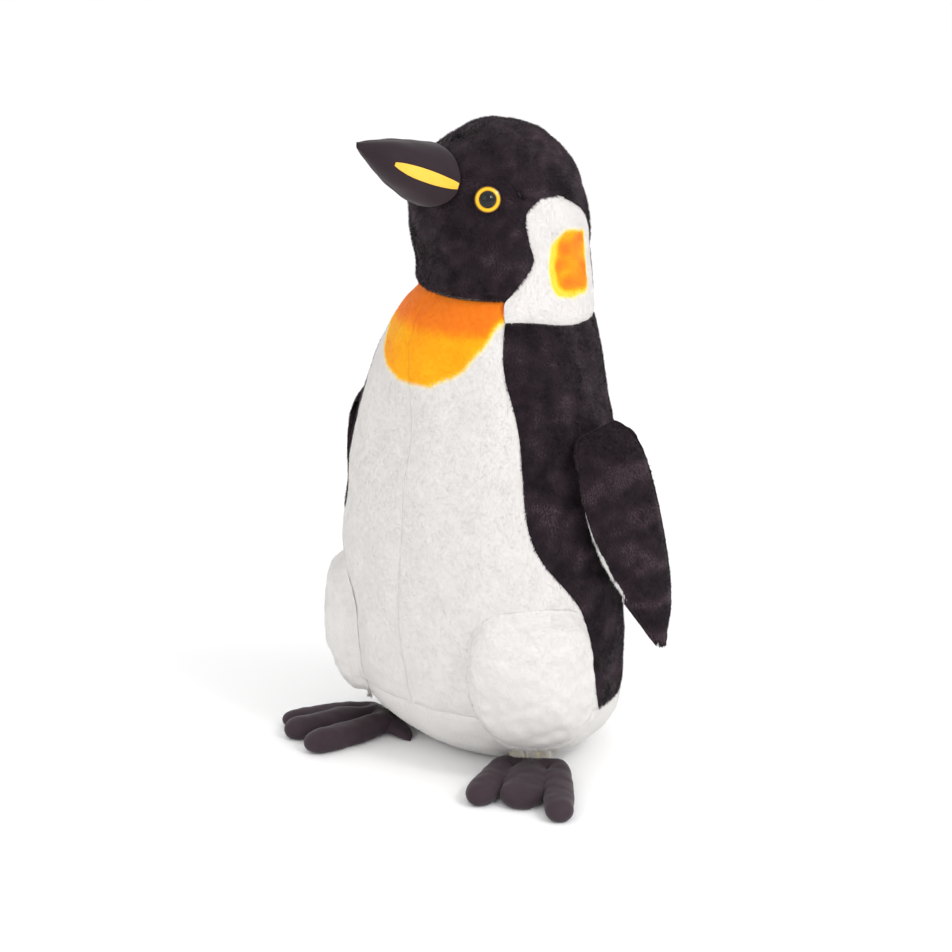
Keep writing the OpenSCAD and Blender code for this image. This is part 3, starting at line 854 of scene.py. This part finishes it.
for index, (node, sheet) in enumerate(panels.items()):
    white = node in WHITE_NODES
    dyed = node.startswith(("belly", "cheek"))
    slot = "white_plush" if white else "black_plush"
    skin("skin_" + node, node, sheet, white_backing if white else black_backing, "body",
         dyed=white)
    head = node.startswith(("hood", "crown", "cheek", "nape"))
    pile(
        "pile_" + node, sheet, "body", slot,
        dye_pile if dyed else (white_pile if white else black_pile),
        (shade_cheek if head else shade_dyed) if dyed else (shade_white if white else shade_black_sheen),
        flow_head if head else flow_down, np.random.default_rng(100 + index),
        keep=clear_of_eyes if head else not_underneath, **(SMOOTH_NAP if white else {}),
    )

# ---------------- cloth under pressure


def solid_object(name, nodes, voxel):
    """One closed mesh around CAD solids, with even faces."""
    bm = bmesh.new()
    for node in nodes:
        bm.from_mesh(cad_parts[node].data)
    bmesh.ops.remove_doubles(bm, verts=bm.verts, dist=WELD)
    mesh = bpy.data.meshes.new(name)
    bm.to_mesh(mesh)
    bm.free()
    obj = placed(name, mesh)
    modifier = obj.modifiers.new("remesh", "REMESH")
    modifier.mode = "VOXEL"
    modifier.voxel_size = voxel
    settle_modifiers(obj)
    return obj


def settle_modifiers(obj):
    """Replaces an object's mesh by what its modifiers make of it."""
    done = bpy.data.meshes.new_from_object(obj.evaluated_get(bpy.context.evaluated_depsgraph_get()))
    obj.modifiers.clear()
    obj.data = done


def as_sheet(obj):
    return Sheet(mesh_points(obj.data), mesh_quads(obj.data))


def solid_sheet(name, node, voxel):
    """The outside of a CAD solid as a closed sheet of even faces."""
    obj = solid_object(name, [node], voxel)
    sheet = as_sheet(obj)
    bpy.data.objects.remove(obj)
    return sheet


CLOTH_FRAMES = 20
CLOTH_PRESSURE = 4.0
CLOTH_VOXEL = 4.5 * MM
THIGH_CAP = 3 * MM
FLIPPER_CAP = 1.5 * MM


def cloth_run(name, nodes):
    """Blows up closed cloth around CAD solids. Gives its first points and how far each moved."""
    obj = solid_object(name, nodes, CLOTH_VOXEL)
    before = as_sheet(obj).points
    cloth = obj.modifiers.new("cloth", "CLOTH").settings
    cloth.use_pressure = True
    cloth.uniform_pressure_force = CLOTH_PRESSURE
    cloth.effector_weights.gravity = 0
    for step in range(1, CLOTH_FRAMES + 1):
        bpy.context.scene.frame_set(step)
    settle_modifiers(obj)
    after = as_sheet(obj).points
    bpy.context.scene.frame_set(1)
    bpy.data.objects.remove(obj)
    return before, after - before


def swell(sheet, name, nodes, cap, edge):
    """Gives a sheet the folds and fullness of the cloth run, evened so that its size stays."""
    before, moved = cloth_run(name, nodes)
    tree = tree_of(before)
    n = sheet.normals()
    lift = np.zeros(len(n))
    for i, p in enumerate(sheet.points):
        near = tree.find_n(p, 8)
        weight = np.array([1 / (d + CLOTH_VOXEL / 2) for _, _, d in near])
        lift[i] = (moved[[k for _, k, _ in near]] @ n[i]) @ weight / weight.sum()
    d, _ = sheet.rim_distance()
    sheet.lift(np.clip(lift - np.median(lift), -cap, cap) * smooth(d / edge))


# ---------------- thighs

body_surface = surface_of(panels.values())


def settle_rim(sheet, surface, depth, spread):
    """Draws a sheet's rim down onto a surface."""
    shift = np.zeros_like(sheet.points)
    for i in sheet.rim:
        place, normal = nearest(surface, sheet.points[i])
        shift[i] = place - normal * depth - sheet.points[i]
    d, near = sheet.rim_distance()
    sheet.points = sheet.points + shift[near] * (np.maximum(0, 1 - d / spread) ** 1.5)[:, None]


thighs = {}
for index, side in enumerate(SIDES):
    node = "thigh_cover_" + side
    sheet = outer_sheet(node, [node, "thigh_padding_" + side])
    sheet.smooth_rim(60)
    sheet.relax(12)
    swell(sheet, "cloth_" + node, [node, "thigh_padding_" + side], THIGH_CAP, 20 * MM)
    settle_rim(sheet, body_surface, 1 * MM, 11 * MM)
    d, _ = sheet.rim_distance()
    lumps = 0.9 * MM * waves(sheet.points, 50 * MM, 3) + 0.4 * MM * waves(sheet.points, 18 * MM, 4)
    sheet.lift((-PILE_STAND + 1.2 * MM + lumps) * smooth(d / (12 * MM)))
    skin("skin_" + node, node, sheet, white_backing, "body", dyed=True)
    pile("pile_" + node, sheet, "body", "white_plush", white_pile, shade_white, flow_down,
         np.random.default_rng(200 + index), keep=not_underneath, **SMOOTH_NAP)
    thighs[side] = sheet

# ---------------- flippers

FLIPPER_EDGE = 11 * MM
PIPING = 2.7 * MM
PIPING_LOW = 0.22
PIPING_HIGH = 0.66


def far_side(sheet, node, through):
    """The same sheet carried through a stuffed piece to the outside of its other panel."""
    start = 80 * MM
    tree = BVHTree.FromBMesh(bmesh_of(node))
    hits = [tree.ray_cast(p + through * start, -through, start) for p in sheet.points]
    found = np.array([h[0] is not None for h in hits])
    depth = np.array([start - h[3] if h[0] is not None else 0 for h in hits])
    known = tree_of(sheet.points[found])
    for i in np.nonzero(~found)[0]:
        depth[i] = depth[found][known.find(sheet.points[i])[1]]
    return Sheet(sheet.points + through * depth[:, None], sheet.quads[:, ::-1])


def pinch(sheets):
    """Brings two sheets of the same make together along their rims."""
    a, b = sheets
    middle = (a.points + b.points) / 2
    for sheet in sheets:
        d, near = sheet.rim_distance()
        share = np.maximum(0, 1 - d / FLIPPER_EDGE) ** 2
        sheet.points = sheet.points + (middle - sheet.points)[near] * share[:, None]


def piping(sheet):
    """Share of white along the lower part of a flipper's front edge, where the lining shows."""
    p = sheet.points
    d, _ = sheet.rim_distance()
    slope, level = np.polyfit(p[:, 2], p[:, 1], 1)
    front = p[:, 1] < slope * p[:, 2] + level
    share = (p[:, 2] - p[:, 2].min()) / np.ptp(p[:, 2])
    width = PIPING * smooth((share - PIPING_LOW) / 0.09) * smooth((PIPING_HIGH - share) / 0.25)
    return (d < width) & front


def shade_lining(white, sheet, lining):
    """White tufts inside, black ones by the seam except along the white piping."""
    tree = tree_of(sheet.points)
    d, _ = sheet.rim_distance()
    pale = white | ((d > 9 * MM) if lining else np.zeros(len(d), bool))

    def shade(points, rng):
        near = np.array([tree.find(p)[1] for p in points])
        return np.where(pale[near], len(BLACKS), shade_flipper_sheen(points, rng))

    return shade, pale


flippers = {}
for index, side in enumerate(SIDES):
    body = "flipper_" + side
    nodes = [f"flipper_{part}_{side}" for part in ("outer", "inner")]
    assembly = nodes + ["flipper_stuffing_" + side]
    outer = outer_sheet(nodes[0], assembly, thinnest=0.2 * MM, look=22 * MM)
    outer.smooth_rim(8)
    outer.relax(4)
    inner = far_side(outer, nodes[1], -unit(outer.normals().mean(0)))
    inner.relax(8, keep_rim=False)
    for part, sheet in (("outer", outer), ("inner", inner)):
        swell(sheet, f"cloth_flipper_{part}_{side}", assembly, FLIPPER_CAP, 14 * MM)
    pinch([outer, inner])
    for k, (node, sheet) in enumerate(zip(nodes, (outer, inner))):
        lining = k == 1
        d, _ = sheet.rim_distance()
        offset = (2.0 * MM * (1 - np.exp(-d / (10 * MM))) - 2.0 * MM
                  + 0.6 * MM * waves(sheet.points, 45 * MM, 11 + index) * smooth(d / (15 * MM)))
        sheet.lift(offset)
        shade, pale = shade_lining(piping(sheet), sheet, lining)
        tint = np.where(pale[:, None], np.array(WHITES[1]), np.array(BLACKS[1]))
        slot = "white_plush" if lining else "black_plush"
        skin("skin_" + node, node, sheet, white_backing, body, hem=0.3 * MM, tint=tint)
        pile("pile_" + node, sheet, body, slot, black_pile + [white_pile[1]], shade, flow_down,
             np.random.default_rng(300 + 10 * index + k), length=3.2 * MM)
    flippers[side] = [outer, inner]

# ---------------- beak


def lay_on(sheet, surface, edge, crown, ramp):
    """Lays a sheet on a surface: at a small height at its rim, a larger one further in."""
    d, _ = sheet.rim_distance()
    height_over = edge + (crown - edge) * smooth(d / ramp)
    for i, p in enumerate(sheet.points):
        place, normal = nearest(surface, p)
        sheet.points[i] = place + normal * height_over[i]


TIP_CLOSED = 4.5 * MM  # the stitches are drawn together this near the tip of the beak
TIP_PLAIN = 12 * MM  # the groove of the seam runs out this near it

sheets = {side: outer_sheet("beak_" + side, ["beak_left", "beak_right", "beak_stuffing"],
                            thinnest=0.1 * MM, look=30 * MM) for side in SIDES}
for sheet in sheets.values():
    sheet.smooth_rim(10)
    sheet.relax(3)
sew(list(sheets.values()), reach=4 * MM, spread=8 * MM)
for side, sheet in sheets.items():
    d, _ = sheet.rim_distance()
    groove = -0.7 * MM * np.exp(-((d / (1.4 * MM)) ** 2))
    from_tip = np.linalg.norm(sheet.points - beak_tip, axis=1)
    sheet.lift((groove + 0.25 * MM * waves(sheet.points, 25 * MM, 12)) * smooth(from_tip / TIP_PLAIN))
    drawn = 1 - smooth(from_tip / TIP_CLOSED)
    sheet.points = sheet.points + (beak_tip - sheet.points) * drawn[:, None]
    skin("skin_beak_" + side, "beak_" + side, sheet, beak_suede, "body",
         hem=0.3 * MM)
    node = "beak_stripe_" + side
    stripe = outer_sheet(node, [node, "beak_" + side], thinnest=0.1 * MM, look=6 * MM)
    lay_on(stripe, surface_of([sheet]), 0.35 * MM, 0.75 * MM, 1.2 * MM)
    skin("skin_" + node, node, stripe, felt, "body", hem=0.7 * MM)

# ---------------- feet

FOOT_SEAM = 3.0 * MM
FOOT_COVER = 3.2 * MM

for side in SIDES:
    sheet = solid_sheet("foot_core_" + side, "foot_stuffing_" + side, 1.5 * MM)
    sheet.relax(26, keep_rim=False)
    sheet.relax(90, keep_rim=False, back=0.52)
    n = sheet.normals()
    rise = 0.5 * MM * waves(sheet.points, 34 * MM, 41) + 0.2 * MM * waves(sheet.points, 14 * MM, 42)
    upper = smooth(sheet.points[:, 2] / (9 * MM) - 0.6)
    ridge = 0.2 * MM * np.exp(-(((n[:, 2] - 0.72) / 0.12) ** 2)) * upper
    sheet.lift(FOOT_COVER + rise + ridge)
    sheet.keep_above(0.15 * MM)
    sheet.relax(3, keep_rim=False)
    middle = sheet.points[sheet.quads].mean(1)[:, 2]
    for part, chosen in (("top", middle > FOOT_SEAM), ("sole", middle <= FOOT_SEAM)):
        quads = sheet.quads[chosen]
        used, renamed = np.unique(quads, return_inverse=True)
        obj = mesh_object(f"skin_foot_{part}_{side}", sheet.points[used], renamed.reshape(-1, 4),
                          [suede], "foot_" + side)
        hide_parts(f"foot_{part}_{side}")


# Heel cloth that joins each foot to the underside of the body, in millimetres: where it starts
# in the foot and ends under the body, and its half width and height at both. The right foot
# stands further from the body, so that its heel is the longer one.
HEELS = {
    "left": ((96, -40), (70, -44), (17, 8), (18, 9)),
    "right": ((98, -44), (42, -55), (21, 6), (19, 8)),
}
HEEL_RINGS = 21
HEEL_SIDES = 36
HEEL_GAP = 0.8 * MM


def heel(side):
    """A low closed wedge, round in section."""
    start, end, halves, tops = [np.array(pair, float) for pair in HEELS[side]]
    start[0], end[0] = start[0] * SIDES[side], end[0] * SIDES[side]
    along = unit(end - start)
    across = np.array([-along[1], along[0]])
    points = []
    for ring in range(HEEL_RINGS):
        t = ring / (HEEL_RINGS - 1)
        close = math.sqrt(max(0.002, 1 - (2 * t - 1) ** 6))
        half = (halves[0] + (halves[1] - halves[0]) * t) * close
        top = (tops[0] + (tops[1] - tops[0]) * t) * close
        centre = start + (end - start) * t
        for k in range(HEEL_SIDES):
            a = 2 * math.pi * k / HEEL_SIDES
            spot = centre + across * half * math.cos(a)
            points.append((spot[0], spot[1], 0.4 + top * (0.5 + 0.5 * math.sin(a))))
    first = np.arange(HEEL_RINGS * HEEL_SIDES).reshape(HEEL_RINGS, HEEL_SIDES)
    beside = np.roll(first, -1, axis=1)
    quads = np.stack([first[:-1], beside[:-1], beside[1:], first[1:]], 2).reshape(-1, 4)
    sheet = Sheet(np.array(points) * MM, quads)
    for i, p in enumerate(sheet.points):
        place, normal = nearest(body_surface, p)
        if (p - place) @ normal < HEEL_GAP:
            sheet.points[i] = place + normal * HEEL_GAP
    sheet.keep_above(0.4 * MM)
    obj = mesh_object("heel_cloth_" + side, sheet.points, sheet.quads, [suede], None)
    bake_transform(obj)


# Middle and half width of the fringe over the left foot, in millimetres
FRINGE_PLACE = (104, -41, 22)
FRINGE_HALF = 16
FRINGE_TUFTS = 420
FRINGE_LOWEST = 0.5 * MM


def fringe(side, rng):
    """Longer tufts that hang from the hem over the top of a foot."""
    centre = np.array(FRINGE_PLACE) * MM * (SIDES[side], 1, 1)
    out = unit(centre * (1, 1, 0))
    across = np.array([-out[1], out[0], 0])
    surface = surface_of(list(panels.values()) + [thighs[side]])
    roots = []
    for _ in range(FRINGE_TUFTS):
        place = centre + across * rng.uniform(-1, 1) * FRINGE_HALF * MM
        place = place + np.array([0, 0, rng.uniform(-2, 4) * MM])
        root = surface.ray_cast(place + out * 60 * MM, -out)[0]
        if root is not None:
            roots.append(root)
    roots = np.array(roots)
    down = unit(np.array([0, 0, -1.0]) + 0.9 * out + rng.normal(0, 0.2, roots.shape))
    lit = unit(out + np.array([0, 0, 0.8]) + rng.normal(0, 0.15, roots.shape))
    long = rng.uniform(5, 8.5, len(roots))[:, None] * MM
    half = rng.uniform(0.25, 0.45, len(roots))[:, None] * MM
    materials = [white_pile[2], white_pile[1], dye_pile[1]]
    obj = blades("fringe_" + side, roots, across * half, roots + down * long, FRINGE_LOWEST, lit, lit,
                 materials, rng.integers(0, len(materials), len(roots)), "body")


for index, side in enumerate(SIDES):
    heel(side)
    fringe(side, np.random.default_rng(400 + index))

# ---------------- what is inside

# For each filling: the body it rides on, the mesh's cell and how far it is drawn in, both in mm
FILLINGS = {
    "body_stuffing": ("body", 7, 4.5), "head_stuffing": ("body", 6, 6.0),
    "beak_stuffing": ("body", 4, 1.2),
    "thigh_padding_left": ("body", 4, 0.8), "thigh_padding_right": ("body", 4, 0.8),
    "flipper_stuffing_left": ("flipper_left", 3, 2.4),
    "flipper_stuffing_right": ("flipper_right", 3, 2.4),
    "foot_stuffing_left": ("foot_left", 3, 1.2), "foot_stuffing_right": ("foot_right", 3, 1.2),
    "pellet_bag": ("body", 5, 1.2),
}
PADDING_SHARE = 0.84
LEAST_DEPTH = 3.5 * MM

skins = {"body_stuffing": body_surface, "head_stuffing": body_surface}
for side in SIDES:
    skins["thigh_padding_" + side] = surface_of([thighs[side]])
    skins["flipper_stuffing_" + side] = surface_of(flippers[side])


def keep_inside(points, surface, margin):
    """Moves points inwards that are outside the skin over them or nearer to it than a margin."""
    for i, p in enumerate(points):
        place, normal = nearest(surface, p)
        far = np.linalg.norm(p - place)
        if far < margin or (p - place) @ normal > 0.7 * far:
            points[i] = place - normal * margin


for node, (body, voxel, drawn_in) in FILLINGS.items():
    sheet = solid_sheet(node + "_core", node, voxel * MM)
    inset = drawn_in * MM * (1 + 0.3 * np.clip(waves(sheet.points, 14 * MM, 51), -2, 2))
    if node in ("body_stuffing", "head_stuffing"):
        inset = inset + 9 * MM * np.exp(-(((sheet.points[:, 2] - hood_seam) / (26 * MM)) ** 2))
    sheet.lift(-inset)
    if node.startswith("thigh"):
        middle = sheet.points.mean(0)
        sheet.points = middle + (sheet.points - middle) * PADDING_SHARE
    if node in skins:
        keep_inside(sheet.points, skins[node], LEAST_DEPTH if body == "body" else LEAST_DEPTH / 2)
        sheet.relax(2, keep_rim=False)
    bag = node == "pellet_bag"
    obj = mesh_object("bag_of_pellets" if bag else "wadding_" + node, sheet.points, sheet.quads,
                      [bag_cloth if bag else wadding], body)
    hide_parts(node)

# ---------------- eyes


def ring_material(name, centre, outer, inner):
    """Yellow plastic that darkens to brown at both edges of the ring round the pupil."""
    n = Nodes(name)
    place = n.add("TexCoord")
    distance = n.add("VectorMath", operation="DISTANCE")
    distance.inputs[1].default_value = centre
    n.link(place.outputs["Object"], distance.inputs[0])
    share = n.add("MapRange")
    share.inputs["From Min"].default_value = inner
    share.inputs["From Max"].default_value = outer
    n.link(distance.outputs["Value"], share.inputs["Value"])
    brown, amber, yellow = srgb(76, 50, 18), srgb(206, 145, 18), srgb(236, 190, 24)
    colour = n.ramp(share.outputs["Result"], [
        (0.0, brown), (0.2, amber), (0.4, yellow), (0.68, yellow), (0.85, amber), (1.0, brown)])
    return n.finish(n.bump(n.noise(300, 2), 0.01 * MM, 0.2), colour, Roughness=0.3,
                    Coat_Weight=0.08, Coat_Roughness=0.1, Specular_IOR_Level=0.3)


def dress(node, material):
    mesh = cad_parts[node].data
    mesh.materials.clear()
    mesh.materials.append(material)
    mesh.shade_smooth()
    mesh.set_sharp_from_angle(angle=math.radians(30))


for side in SIDES:
    outer = np.ptp(node_points("eye_iris_" + side)[:, 2]) / 2
    inner = np.ptp(node_points("eye_pupil_" + side)[:, 2]) / 2
    dress("eye_iris_" + side, ring_material("eye_ring_" + side, PUPILS[side], outer, inner))
    dress("eye_pupil_" + side, eye_black)
    dress("eye_washer_" + side, washer_plastic)

# ---------------- floor, light and camera

CAMERA = Vector((1.3915, -1.5728, 0.92))
CAMERA_PAN = math.radians(0.13)
CAMERA_DOWN = math.radians(17.35)
LENS = 88.87

heading = math.atan2(-CAMERA.y, -CAMERA.x) + CAMERA_PAN
level = math.cos(CAMERA_DOWN)
ahead = Vector((math.cos(heading) * level, math.sin(heading) * level, -math.sin(CAMERA_DOWN)))
camera = placed("camera", bpy.data.cameras.new("camera"))
camera.location = CAMERA
camera.rotation_mode = "QUATERNION"
camera.rotation_quaternion = ahead.to_track_quat("-Z", "Y")
camera.data.lens = LENS
camera.data.sensor_width = 36
bpy.context.scene.camera = camera


FLOOR_HALF = 14
WORLD_STRENGTH = 1.02


def floor():
    size = FLOOR_HALF
    mesh = bpy.data.meshes.new("floor")
    mesh.from_pydata([(-size, -size, 0), (size, -size, 0), (size, size, 0), (-size, size, 0)], [],
                     [(0, 1, 2, 3)])
    n = Nodes("pale_floor")
    mesh.materials.append(n.finish(Base_Color=(0.98, 0.98, 0.98, 1), Roughness=0.9))
    placed("floor", mesh)


def softbox(name, place, target, size, power):
    lamp = bpy.data.lights.new(name, "AREA")
    lamp.size = size
    lamp.energy = power
    obj = placed(name, lamp)
    obj.location = place
    obj.rotation_mode = "QUATERNION"
    obj.rotation_quaternion = (Vector(target) - Vector(place)).to_track_quat("-Z", "Y")


floor()
softbox("key", (2.6, 0.4, 2.4), (0, 0, 0.3), 1.8, 27)
softbox("fill", (0.2, -2.6, 1.8), (0, 0, 0.3), 2.0, 9)
softbox("catchlight", (1.87, -0.14, 1.78), (0, 0, 0.5), 0.21, 8)
world = bpy.data.worlds.new("studio")
world.use_nodes = True
world.node_tree.nodes["Background"].inputs["Color"].default_value = (1, 1, 1, 1)
world.node_tree.nodes["Background"].inputs["Strength"].default_value = WORLD_STRENGTH
bpy.context.scene.world = world
bpy.context.scene.view_settings.view_transform = "Standard"
